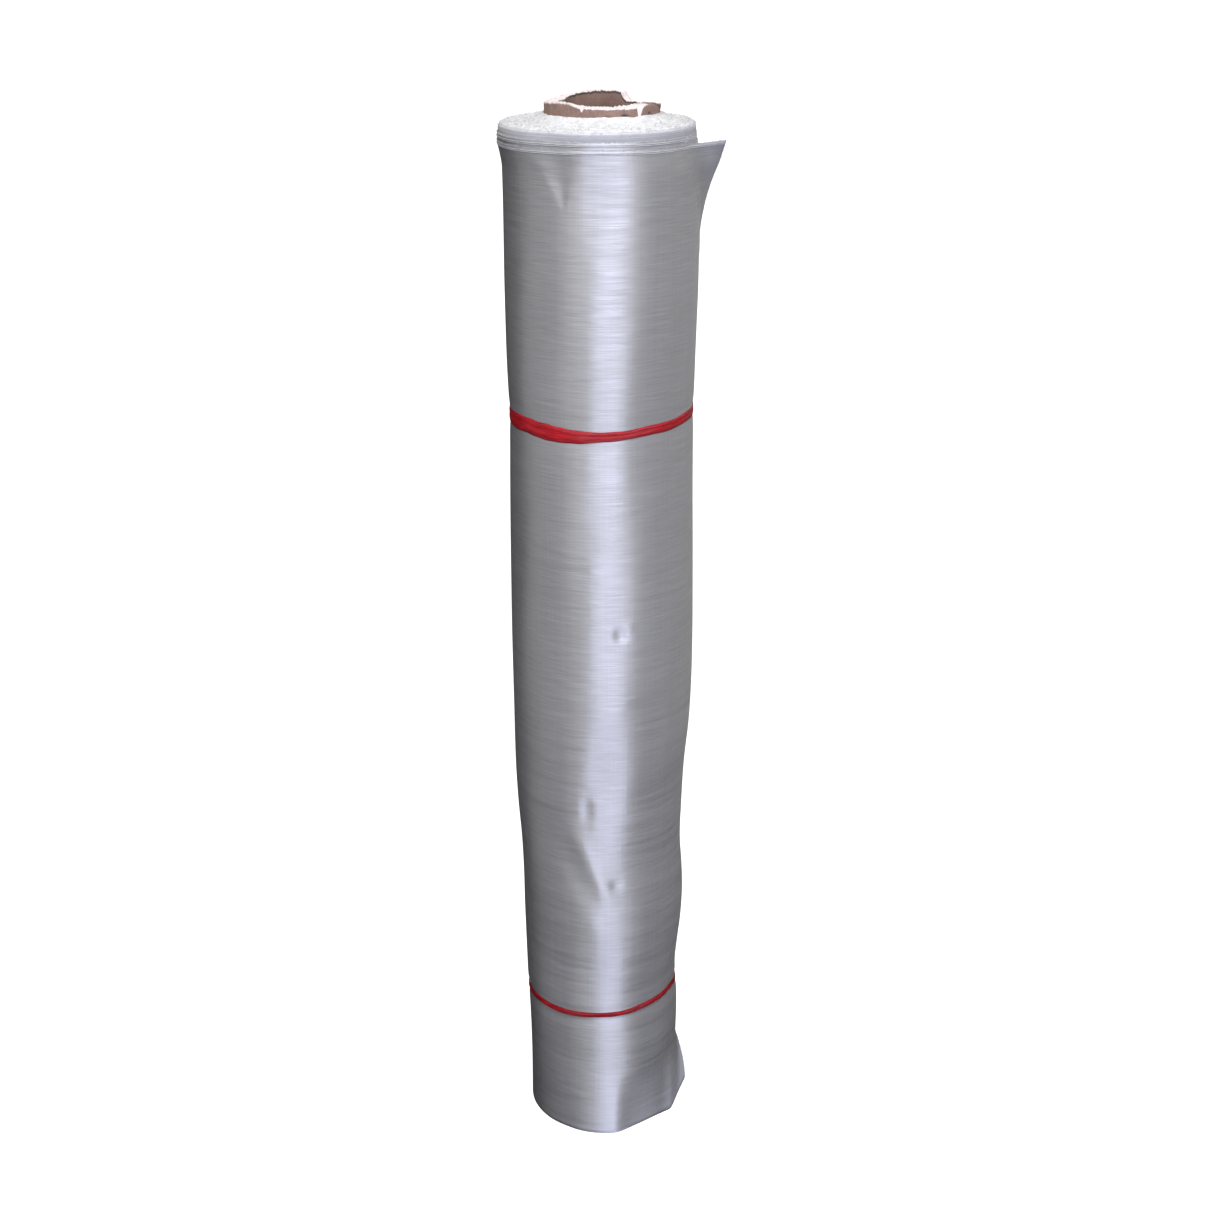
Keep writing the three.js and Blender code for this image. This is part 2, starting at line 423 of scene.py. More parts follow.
class Nodes:
    """The node tree of one new material."""

    def __init__(self, name: str) -> None:
        """Starts a material with only an output and a Principled shader."""
        self.material = bpy.data.materials.new(name)
        self.material.use_nodes = True
        self.tree = self.material.node_tree
        self.tree.nodes.clear()
        self.shader = self.add("ShaderNodeBsdfPrincipled", {}, {})
        self.add("ShaderNodeOutputMaterial", {}, {"Surface": self.shader.outputs["BSDF"]})

    def add(self, kind: str, settings: dict[str, object], inputs: dict[str | int, object]) -> bpy.types.Node:
        """Adds one node.

        Args:
            kind: the node's type.
            settings: its properties, set first.
            inputs: values or links of its sockets, by name or number.

        Returns:
            The node.
        """
        node = self.tree.nodes.new(kind)
        for key, value in settings.items():
            setattr(node, key, value)
        self.feed(node, inputs)
        return node

    def feed(self, node: bpy.types.Node, inputs: dict[str | int, object]) -> None:
        """Links or sets sockets of a node."""
        for key, value in inputs.items():
            if isinstance(value, Value):
                value = value.socket
            if isinstance(value, Socket):
                self.tree.links.new(value, node.inputs[key])
            else:
                node.inputs[key].default_value = value

    def math(self, operation: str, *values: "Value | float") -> Value:
        """A Math node."""
        node = self.add("ShaderNodeMath", {"operation": operation}, dict(enumerate(values)))
        return Value(self, node.outputs[0])

    def axes(self, vector: Socket) -> tuple[Value, Value, Value]:
        """The three parts of a vector."""
        node = self.add("ShaderNodeSeparateXYZ", {}, {"Vector": vector})
        return tuple(Value(self, out) for out in node.outputs)

    def vector(self, x: Value | float, y: Value | float, z: Value | float = 0.0) -> Socket:
        """A vector of three values."""
        return self.add("ShaderNodeCombineXYZ", {}, {0: x, 1: y, 2: z}).outputs[0]

    def place(self) -> Socket:
        """Object coordinates, in metres."""
        return self.add("ShaderNodeTexCoord", {}, {}).outputs["Object"]

    def unrolled(self) -> tuple[Value, Value]:
        """Arc and height on the unrolled cloth, in millimetres."""
        arc, height, _ = self.axes(self.add("ShaderNodeUVMap", {"uv_map": "cloth"}, {}).outputs["UV"])
        return arc / MM, height / MM

    def mark(self, name: str) -> Value:
        """A number kept on the mesh's points."""
        return Value(self, self.add("ShaderNodeAttribute", {"attribute_name": name}, {}).outputs["Fac"])

    def noise(self, vector: Socket, scale: float, detail: float = 3.0) -> Value:
        """Noise between 0 and 1."""
        node = self.add("ShaderNodeTexNoise", {}, {"Vector": vector, "Scale": scale, "Detail": detail})
        return Value(self, node.outputs[0])

    def blend(self, share: Value | float, low: object, high: object) -> Socket:
        """A colour between two colours."""
        node = self.add("ShaderNodeMix", {"data_type": "RGBA"}, {0: share})
        for socket, colour in ((node.inputs[6], low), (node.inputs[7], high)):
            if isinstance(colour, Socket):
                self.tree.links.new(colour, socket)
            else:
                socket.default_value = (*colour, 1.0)
        return node.outputs[2]

    def bump(self, height: Value, distance: float) -> Socket:
        """A normal bent by a height from 0 to 1 that stands for the distance, in metres."""
        inputs = {"Height": height, "Distance": distance, "Strength": 1.0}
        return self.add("ShaderNodeBump", {}, inputs).outputs["Normal"]

    def finish(self, sockets: dict[str, object]) -> Material:
        """Feeds the Principled shader and gives the material."""
        self.feed(self.shader, sockets)
        return self.material


@dataclass(frozen=True)
class Grain:
    """Soft noise on the unrolled cloth, stretched to two lengths in millimetres."""

    along: float
    up: float
    offset: float
    detail: float = 2.0

    def on(self, nodes: Nodes, arc: Value, height: Value) -> Value:
        """The noise, from 0 to 1."""
        return nodes.noise(nodes.vector(arc / self.along, height / self.up, self.offset), 1.0, self.detail)


@dataclass(frozen=True)
class SatinCloth:
    """Plain-woven glass yarn: satin, with slubby rows across the cloth."""

    pale: Triple = (0.74, 0.74, 0.755)
    grey: Triple = (0.53, 0.525, 0.52)
    # painted light: the pale bluish colour that the loose single layer takes
    painted_light: Triple = (0.9, 0.9, 0.96)
    metallic: float = 0.72
    dulled: float = 0.5  # what a single free layer loses of it
    roughness: float = 0.54
    anisotropy: float = 0.97
    yarn: float = 0.85  # millimetres from one yarn to the next
    slack: float = 2.6  # height of the loosest rows in shares of the weave's
    relief: float = 0.00016
    fine_rows: Grain = Grain(34.0, 1.1, 0.0)
    broad_rows: Grain = Grain(110.0, 4.5, 3.7, 3.0)
    slack_rows: Grain = Grain(28.0, 7.5, 2.9)
    patches: Grain = Grain(60.0, 90.0, 8.1)
    warps: Grain = Grain(2.2, 160.0, 5.3)

    def make(self) -> Material:
        """Builds the material on the unrolled map.

        Rows are noise stretched along the weft. They shift the colour, the gloss and the bump together, and
        the weave is the product of a sine along the warp and one along the weft. The mark loose, from 0 to 1,
        paints light where only one layer of the cloth stands free: a paler, bluish painted highlight, with
        less metallic gleam.

        Returns:
            The material.
        """
        nodes = Nodes("satin_glass_cloth")
        arc, height = nodes.unrolled()
        grains = (self.fine_rows, self.broad_rows, self.patches, self.warps, self.slack_rows)
        fine, broad, stain, warp, slack = (grain.on(nodes, arc, height) for grain in grains)
        rows = (fine * 0.6 + broad * 0.4).step(0.3, 0.7)
        phase = math.pi / self.yarn
        weave = (arc * phase).apply("SINE") * (height * phase).apply("SINE") * 0.5 + 0.5
        tone = (rows * 0.45 + stain * 0.4 + warp * 0.3 - 0.05).held()
        # painted light: where the cloth stands free, its colour turns to the painted highlight
        loose = nodes.mark("loose")
        colour = nodes.blend(loose, nodes.blend(tone, self.grey, self.pale), self.painted_light)
        bumpy = rows * 0.5 + weave * 0.25 + warp * 0.3 + slack * self.slack
        return nodes.finish({
            "Base Color": colour,
            "Metallic": self.metallic - loose * self.dulled,
            "Roughness": self.roughness + (0.5 - rows) * 0.12 + (broad - 0.5) * 0.6,
            "Anisotropic": self.anisotropy,
            "Anisotropic Rotation": 0.25,
            "Normal": nodes.bump(bumpy, self.relief),
        })


@dataclass(frozen=True)
class YarnEnds:
    """Cut weft ends: white, matt and fibrous, with greyer hollows."""

    white: Triple = (0.8, 0.8, 0.8)
    shade: Triple = (0.58, 0.585, 0.6)
    clump: float = 190.0  # clumps in a metre
    fibre: float = 1300.0
    shares: Pair = (0.7, 0.5)  # of the clumps and the fibres in the colour

    def ends(self, nodes: Nodes, place: Socket) -> tuple[Value, Value, Socket]:
        """Clumps, fibres and the colour that they make, on object coordinates."""
        clumps = nodes.noise(place, self.clump, 3.0)
        fibres = nodes.noise(place, self.fibre, 2.0)
        tone = (clumps * self.shares[0] + fibres * self.shares[1]).step(0.35, 0.75)
        return clumps, fibres, nodes.blend(tone, self.shade, self.white)

    def make(self) -> Material:
        """Builds the material."""
        nodes = Nodes("white_yarn_ends")
        clumps, fibres, colour = self.ends(nodes, nodes.place())
        bumpy = fibres * 0.6 + clumps * 0.4
        return nodes.finish({"Base Color": colour, "Roughness": 0.75, "Normal": nodes.bump(bumpy, 0.0005)})


@dataclass(frozen=True)
class WoundEdge(YarnEnds):
    """The windings: satin on their side, with painted shade in the lines between turns, and white yarn ends
    on both ends.
    """

    shade: Triple = (0.54, 0.545, 0.56)
    clump: float = 170.0
    fibre: float = 1100.0
    shares: Pair = (0.6, 0.6)
    side: Triple = (0.62, 0.62, 0.63)
    # painted shade in the lines between turns
    seam: Triple = (0.34, 0.345, 0.36)
    wander: float = 4.0  # how fast the turns' lines change round the roll
    layer: float = 0.75  # lines in a millimetre

    def make(self) -> Material:
        """Builds the material: the mark end runs from 0 on the side to 1 on an end."""
        nodes = Nodes("wound_cloth_edges")
        place = nodes.place()
        across, along, height = nodes.axes(place)
        end = nodes.mark("end")
        clumps, fibres, on_end = self.ends(nodes, place)
        lines = nodes.vector(across * self.wander, along * self.wander, height / MM)
        layers = nodes.noise(lines, self.layer, 3.0)
        # painted shade: lines between the turns on the side darken towards the seam colour
        on_side = nodes.blend(layers.step(0.42, 0.58), self.seam, self.side)
        return nodes.finish({
            "Base Color": nodes.blend(end.step(0.3, 1.0), on_side, on_end),
            "Roughness": 0.5 + end * 0.3,
            "Metallic": (1 - end) * 0.3,
            "Normal": nodes.bump(fibres * 0.5 + clumps * 0.3 + layers * 0.2, 0.0005),
        })


@dataclass(frozen=True)
class Cardboard:
    """Spiral-wound brown board, pale and fibrous where it is torn, with painted shadow where its shadow mark
    lies.
    """

    brown: Triple = (0.37, 0.248, 0.195)
    dark: Triple = (0.15, 0.088, 0.068)
    torn: Triple = (0.8, 0.725, 0.715)
    # near-black of the painted shadow
    painted_shadow: Triple = (0.035, 0.022, 0.02)
    pitch: float = 96.0  # millimetres that a ply climbs in one turn
    seam_share: float = 0.018  # of the pitch
    blotch: float = 60.0  # blotches in a metre

    def make(self) -> Material:
        """Builds the material: seams climb round the tube; the marks torn and shadow run from 0 to 1, shadow
        blending to a near-black painted shadow.
        """
        nodes = Nodes("torn_cardboard")
        place = nodes.place()
        across, along, height = nodes.axes(place)
        torn = nodes.mark("torn")
        turn = along.apply("ARCTAN2", across) / (2 * math.pi)
        climb = (height / (self.pitch * MM) + turn).apply("FRACT")
        seam = 1 - (climb - 0.5).apply("ABSOLUTE").step(0.0, self.seam_share)
        fibres = nodes.noise(nodes.vector(across / MM, along / MM, height / MM * 2.2), 0.9, 4.0)
        blotch = nodes.noise(place, self.blotch, 3.0)
        tone = (fibres * 0.6 + blotch * 0.5 - seam * 0.6).step(0.25, 0.8)
        skin = nodes.blend(tone, self.dark, self.brown)
        ragged = (torn + (fibres - 0.5) * 0.7).step(0.35, 0.65)
        pale = nodes.blend(ragged, skin, self.torn)
        # painted shadow: the shadow mark, roughened by the fibres, darkens the board to near-black
        shadow = (nodes.mark("shadow") + (fibres - 0.5) * 0.3).step(0.3, 0.7)
        return nodes.finish({
            "Base Color": nodes.blend(shadow * 0.92, pale, self.painted_shadow),
            "Roughness": 0.82 + ragged * 0.12,
            "Normal": nodes.bump(fibres * 0.7 - seam * 0.5 + ragged * 0.3, 0.0006),
        })


@dataclass(frozen=True)
class Ribbon:
    """Glossy red polypropylene ribbon with fine ribs along it."""

    bright: Triple = (0.68, 0.01, 0.022)
    deep: Triple = (0.24, 0.002, 0.006)
    rib: float = 0.55  # millimetres
    streaks: Grain = Grain(16.0, 0.9, 0.0, 3.0)
    name: str = "red_ribbon"

    def make(self) -> Material:
        """Builds the material: ribs run along the ribbon's own map."""
        nodes = Nodes(self.name)
        arc, across = nodes.unrolled()
        ribs = (across * (2 * math.pi / self.rib)).apply("SINE") * 0.5 + 0.5
        streaks = self.streaks.on(nodes, arc, across)
        tone = (streaks * 0.85 + ribs * 0.15).step(0.32, 0.68)
        return nodes.finish({
            "Base Color": nodes.blend(tone, self.deep, self.bright),
            "Roughness": 0.22 + streaks * 0.16,
            "Normal": nodes.bump(ribs * 0.5 + streaks * 0.5, 0.00022),
        })


@dataclass(frozen=True)
class StudioFloor:
    """White floor that glows a little, so that only a soft shadow shows on it."""

    white: Triple = (0.86, 0.86, 0.86)
    glow: float = 0.9  # of white light

    def make(self) -> Material:
        """Builds the material."""
        nodes = Nodes("studio_floor")
        made = nodes.finish({
            "Base Color": (*self.white, 1.0),
            "Roughness": 0.9,
            "Specular IOR Level": 0.0,
            "Emission Color": (1.0, 1.0, 1.0, 1.0),
            "Emission Strength": self.glow,
        })
        made.cycles.emission_sampling = "NONE"
        return made


@dataclass(frozen=True)
class Dent:
    """A round push of the slack turns, outwards if positive."""

    angle: float
    height: float
    push: float
    across: float
    up: float

    def at(self, angle: Array, height: Array, radius: Array) -> Array:
        """Push at each place: two bell curves, round the roll and up it."""
        round_it = np.radians(wrap(angle - self.angle)) * radius
        return self.push * bell(round_it, self.across) * bell(height - self.height, self.up)


@dataclass(frozen=True)
class Crease:
    """A straight ridge or valley in the slack turns, from one (angle, height) to another."""

    start: Pair
    end: Pair
    push: float
    width: float

    def at(self, angle: Array, height: Array, radius: Array) -> Array:
        """Push at each place: a bell curve across the line, fading past its ends over twice its width."""
        run = np.array([np.radians(self.end[0] - self.start[0]) * MEAN_RADIUS, self.end[1] - self.start[1]])
        length = float(np.hypot(*run))
        run /= length
        round_it = np.radians(wrap(angle - self.start[0])) * radius
        rise = height - self.start[1]
        along = round_it * run[0] + rise * run[1]
        aside = round_it * run[1] - rise * run[0]
        past = np.maximum(0, np.maximum(-along, along - length))
        return self.push * bell(aside, self.width) * bell(past, 2 * self.width)


@dataclass(frozen=True)
class Pleat:
    """A valley that opens upwards: no width and depth at its foot, the full ones at its top."""

    foot: Pair
    head: Pair
    half_width: float
    depth: float

    def at(self, angle: Array, height: Array, radius: Array) -> Array:
        """Push at each place: a smooth trough across the pleat that deepens with its share of the rise."""
        share = np.clip((height - self.foot[1]) / (self.head[1] - self.foot[1]), 0, 1)
        middle = self.foot[0] + (self.head[0] - self.foot[0]) * share
        aside = np.radians(wrap(angle - middle)) * radius / np.maximum(self.half_width * share, 1e-5)
        return -self.depth * share**0.8 * np.clip(1 - aside**2, 0, 1) ** 2


@dataclass(frozen=True)
class Tie:
    """Where a ribbon goes round the roll: its middle's height and its width, by angle."""

    heights: Knots
    widths: Knots
    pinch: float
    pinch_span: float

    def height(self, angle: Array) -> Array:
        """Height of the ribbon's middle."""
        return through(self.heights, wrap(angle))

    def width(self, angle: Array) -> Array:
        """Width of the ribbon."""
        return through(self.widths, wrap(angle))

    def bite(self, angle: Array, height: Array) -> Array:
        """How far the ribbon draws the cloth in."""
        return -self.pinch * bell(height - self.height(angle), self.pinch_span)


UPPER_TIE = Tie(
    heights=(
        (-180, 0.746), (-130, 0.74), (-95, 0.7386), (-68, 0.74), (-52, 0.7402), (-41, 0.7392),
        (-28, 0.7378), (-15, 0.7367), (0, 0.737), (12, 0.7384), (27, 0.7401), (45, 0.7412),
        (63, 0.7426), (95, 0.7446), (130, 0.7465), (180, 0.746),
    ),
    widths=(
        (-180, 0.012), (-90, 0.013), (-60, 0.0146), (-26, 0.014), (-14, 0.0118), (-4, 0.01),
        (60, 0.0094), (120, 0.011), (180, 0.012),
    ),
    pinch=0.0011,
    pinch_span=0.01,
)
LOWER_TIE = Tie(
    heights=(
        (-180, 0.14), (-120, 0.1355), (-90, 0.1352), (-72, 0.137), (-50, 0.1377), (-30, 0.1379),
        (-10, 0.1386), (15, 0.1406), (45, 0.1432), (65, 0.1438), (90, 0.1402), (120, 0.1385), (180, 0.14),
    ),
    widths=(
        (-180, 0.0058), (-60, 0.0056), (-25, 0.0062), (0, 0.0052), (30, 0.006), (90, 0.0056), (180, 0.0058),
    ),
    pinch=0.0019,
    pinch_span=0.0065,
)


@dataclass(frozen=True)
class WoundForm:
    """Outline of the cloth's last turn, with the dents of its slack part."""

    axis: Pair
    left: Knots = (
        (0.0, 0.074), (0.06, 0.0743), (0.112, 0.0753), (0.14, 0.0764), (0.185, 0.0772), (0.23, 0.0782),
        (0.265, 0.079), (0.3, 0.0806), (0.345, 0.0836), (0.39, 0.0854), (0.45, 0.0862), (0.6, 0.0862),
        (0.675, 0.0857), (0.735, 0.0852), (0.79, 0.0866), (0.85, 0.0872), (0.955, 0.0874), (0.985, 0.0884),
    )
    right: Knots = (
        (0.0, 0.0745), (0.06, 0.0762), (0.112, 0.077), (0.136, 0.0761), (0.16, 0.0747), (0.185, 0.0768),
        (0.215, 0.08), (0.245, 0.0812), (0.27, 0.0802), (0.298, 0.078), (0.345, 0.079), (0.39, 0.0814),
        (0.43, 0.0851), (0.47, 0.0868), (0.515, 0.0873), (0.6, 0.0862), (0.675, 0.085), (0.735, 0.0846),
        (0.79, 0.0856), (0.85, 0.0868), (0.955, 0.0874), (0.985, 0.0884),
    )
    lean: float = 0.0043
    lean_span: Pair = (0.96, 0.992)
    first_turn: float = 0.0503
    rim_radius: float = 0.088
    dents: tuple[Dent | Crease | Pleat, ...] = (
        Dent(11.5, 0.55, -0.0016, 0.0056, 0.0065),
        Dent(16.5, 0.556, 0.0005, 0.0062, 0.0045),
        Dent(-10.0, 0.37, -0.0012, 0.0062, 0.015),
        Crease((-15.0, 0.332), (-1.5, 0.288), 0.0015, 0.0088),
        Crease((-20.0, 0.302), (-6.0, 0.264), -0.0006, 0.01),
        Dent(10.0, 0.288, -0.0009, 0.006, 0.005),
        Dent(-34.0, 0.33, -0.001, 0.02, 0.03),
        Dent(1.5, 0.402, -0.0022, 0.018, 0.048),
        Dent(-2.0, 0.244, 0.0013, 0.018, 0.032),
        Pleat((-21.0, 0.933), (-27.0, 0.99), 0.033, 0.0028),
        Dent(-1.5, 0.945, -0.0022, 0.023, 0.042),
        Crease((57.0, 0.981), (78.0, 0.936), 0.0007, 0.003),
        Crease((78.0, 0.936), (92.0, 0.885), 0.0006, 0.003),
        Dent(150.0, 0.61, -0.0016, 0.03, 0.07),
        Dent(-130.0, 0.42, -0.0014, 0.025, 0.09),
        Crease((-150.0, 0.59), (-118.0, 0.51), -0.001, 0.009),
        Crease((120.0, 0.33), (158.0, 0.25), 0.0011, 0.0085),
    )
    foot_hollow: Dent = Dent(38.0, 0.0, -0.0044, 0.024, 0.046)
    ripple: Ripple = Ripple(0.00022, 11, 0.16, 0.035)
    ripple_stretch: Triple = (1.0, 1.0, 0.55)

    def middle(self, height: Array) -> Array:
        """Mean radius at a height."""
        return (through(self.left, height) + through(self.right, height)) / 2

    def radius(self, angle: Array, height: Array) -> Array:
        """Radius of the last turn.

        The left and right outlines blend round the roll with the sine of the angle. Dents, creases, the
        ribbons' bite and a faint ripple are added.

        Args:
            angle: round the roll.
            height: above the floor.

        Returns:
            Radii, in the inputs' common shape.
        """
        left, right = through(self.left, height), through(self.right, height)
        plain = (left + right) / 2 + (right - left) / 2 * np.sin(np.radians(angle))
        pushed = plain + sum(dent.at(angle, height, plain) for dent in self.dents)
        pushed = pushed + UPPER_TIE.bite(angle, height) + LOWER_TIE.bite(angle, height)
        where = round_axis((0.0, 0.0), angle, plain, height + 0 * plain)
        return pushed + self.ripple.at(where * np.array(self.ripple_stretch))

    def under(self, angle: Array, height: Array, inside: float) -> Array:
        """Radius of a turn below the last one, which clears the last turn's flat foot corner."""
        skin = self.radius(angle, height)
        return skin - inside + self.foot_hollow.at(angle, height, skin)

    def place(self, angle: Array, radius: Array, height: Array) -> Array:
        """Points at cylinder coordinates; the rim leans to the left, its outer turns most."""
        outwards = np.clip((radius - self.first_turn) / (self.rim_radius - self.first_turn), 0, 1) ** 3
        lean = -self.lean * outwards * fade(*self.lean_span, height)
        return round_axis((self.axis[0] + lean, self.axis[1]), angle, radius, height)


@dataclass(frozen=True)
class TopCorner:
    """The free end's top corner: it leaves the roll along a slanted fold."""

    edge: float = 0.9855
    root: float = 0.868
    length: float = 0.049
    bend: float = 21.0
    knee: float = 0.007

    def heading(self, arc: Array, height: Array, cut: float, radius: Array) -> Array:
        """Way that the cloth runs, in degrees; plain cloth runs along the roll's skin."""
        share = np.clip((height - self.root) / (self.edge - self.root), 0, 1)
        leave = cut - self.length * share**1.5
        turned = self.bend * np.sqrt(share) * fade(0, 1, (arc - leave) / self.knee)
        free = np.degrees(leave / radius) - turned
        return np.where(arc > leave, free, np.degrees(arc / radius))


@dataclass(frozen=True)
class FootCorner:
    """The free end's bottom corner: the cloth leaves the roll early and runs in three flat parts."""

    reach: float = 0.072
    lift: float = 4.5
    lift_span: Pair = (-0.055, -0.025)
    folds: tuple[Triple, ...] = ((0.0172, 37.0, 0.017), (0.0852, 73.0, 0.009))

    def heading(self, arc: Array, height: Array, plain: Array) -> Array:
        """Way that the cloth runs: at the floor from fold to fold, and plain above the reach."""
        free = plain - self.lift * fade(*self.lift_span, arc)
        for at, after, knee in self.folds:
            free = free + (after - free) * fade(at - knee / 2, at + knee / 2, arc)
        share = 1 - np.clip(height / self.reach, 0, 1) ** 1.6
        return plain + share * (free - plain)


@dataclass
class LastTurn:
    """The last turn of the cloth, with its cut edge on the right and its two loose corners."""

    form: WoundForm
    cut: float = 0.143
    start: float = -0.44
    top: float = 0.9835
    step: float = 0.0006  # from one turn down to the next
    well_clear: float = 0.01
    edge_columns: int = 420
    row_steps: Knots = (
        (0.0, 0.004), (0.08, 0.006), (0.24, 0.003), (0.41, 0.0075), (0.53, 0.0022), (0.572, 0.008),
        (0.86, 0.003),
    )
    top_corner: TopCorner = TopCorner()
    foot_corner: FootCorner = FootCorner()

    def arcs(self) -> Array:
        """Columns: close together over the front and the free end."""
        return spaced(((self.start, 0.005), (-0.072, 0.0022), (0.06, 0.0024)), self.cut)

    def heights(self) -> Array:
        """Rows: close together at the corners and over the creases."""
        return spaced(self.row_steps, self.top)

    def surface(self, arcs: Array, heights: Array) -> tuple[Array, Array]:
        """Points of the sheet, and how loose it is there.

        Each point starts on the roll, a little deeper for each turn back from the cut edge. Where the cloth
        runs free, the difference between its own way and the skin's way is added up along the arc. The part
        that lies under the free end keeps clear of the flat foot corner, as the turns below do.

        Args:
            arcs: rising columns, from the sheet's start.
            heights: rows.

        Returns:
            (rows, columns, 3) points, and (rows, columns) marks from 0 on the roll to 1 well clear of it.
        """
        arc, height = np.meshgrid(arcs, heights)
        mean = self.form.middle(height)
        plain = np.degrees(arc / mean)
        free = self.top_corner.heading(arc, height, self.cut, mean)
        free = self.foot_corner.heading(arc, height, free)
        apart = tangent(free) - tangent(plain)
        run = np.diff(arc, axis=1)[..., None]
        drift = np.cumsum((apart[:, 1:] + apart[:, :-1]) / 2 * run, axis=1)
        drift = np.concatenate([np.zeros_like(drift[:, :1]), drift], axis=1)
        deep = self.step * (self.cut - arc) / (2 * np.pi * mean)
        clear = np.clip(np.linalg.norm(drift, axis=-1) / self.well_clear, 0, 1)
        # the loose mark, which paints light on the free cloth, is fullest near the floor
        loose = clear * (0.3 + 0.7 * fade(0.3, 0.1, height))
        buried = self.form.foot_hollow.at(plain, height, mean) * (plain < -180)
        return self.form.place(plain, self.form.radius(plain, height) - deep + buried, height) + drift, loose

    def build(self, cloth: Material) -> Piece:
        arcs, heights = self.arcs(), self.heights()
        uv = np.stack(np.meshgrid(arcs, heights), -1)
        points, loose = self.surface(arcs, heights)
        return finish_layer(grid_object("last_turn", points, Seam.OPEN, uv, {"loose": loose}), cloth)

    def edge_line(self, height: float, out: float) -> Array:
        """A line along the sheet at one height, pushed out from it."""
        arcs = np.linspace(self.start, self.cut, self.edge_columns)
        line = self.surface(arcs, np.array([height]))[0][0]
        side, _ = frames(line, closed=False)
        return line + side * out


def finish_piece(piece: Piece, material: Material, slot: Slot, *nodes: str) -> Piece:
    """Dresses a piece, lets it ride on the roll's body and hides the model's parts that it stands for."""
    piece.data.materials.append(material)
    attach(piece, BODY)
    if nodes:
        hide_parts(*nodes)
    log.info("%s: %d points", piece.name, len(piece.data.vertices))
    return piece


def finish_layer(piece: Piece, cloth: Material) -> Piece:
    """Gives an open surface the cloth's thickness, inwards, and dresses it."""
    wall = piece.modifiers.new("cloth thickness", "SOLIDIFY")
    wall.thickness = CLOTH_THICKNESS
    wall.offset = -1.0
    return finish_piece(piece, cloth, Slot.CLOTH)


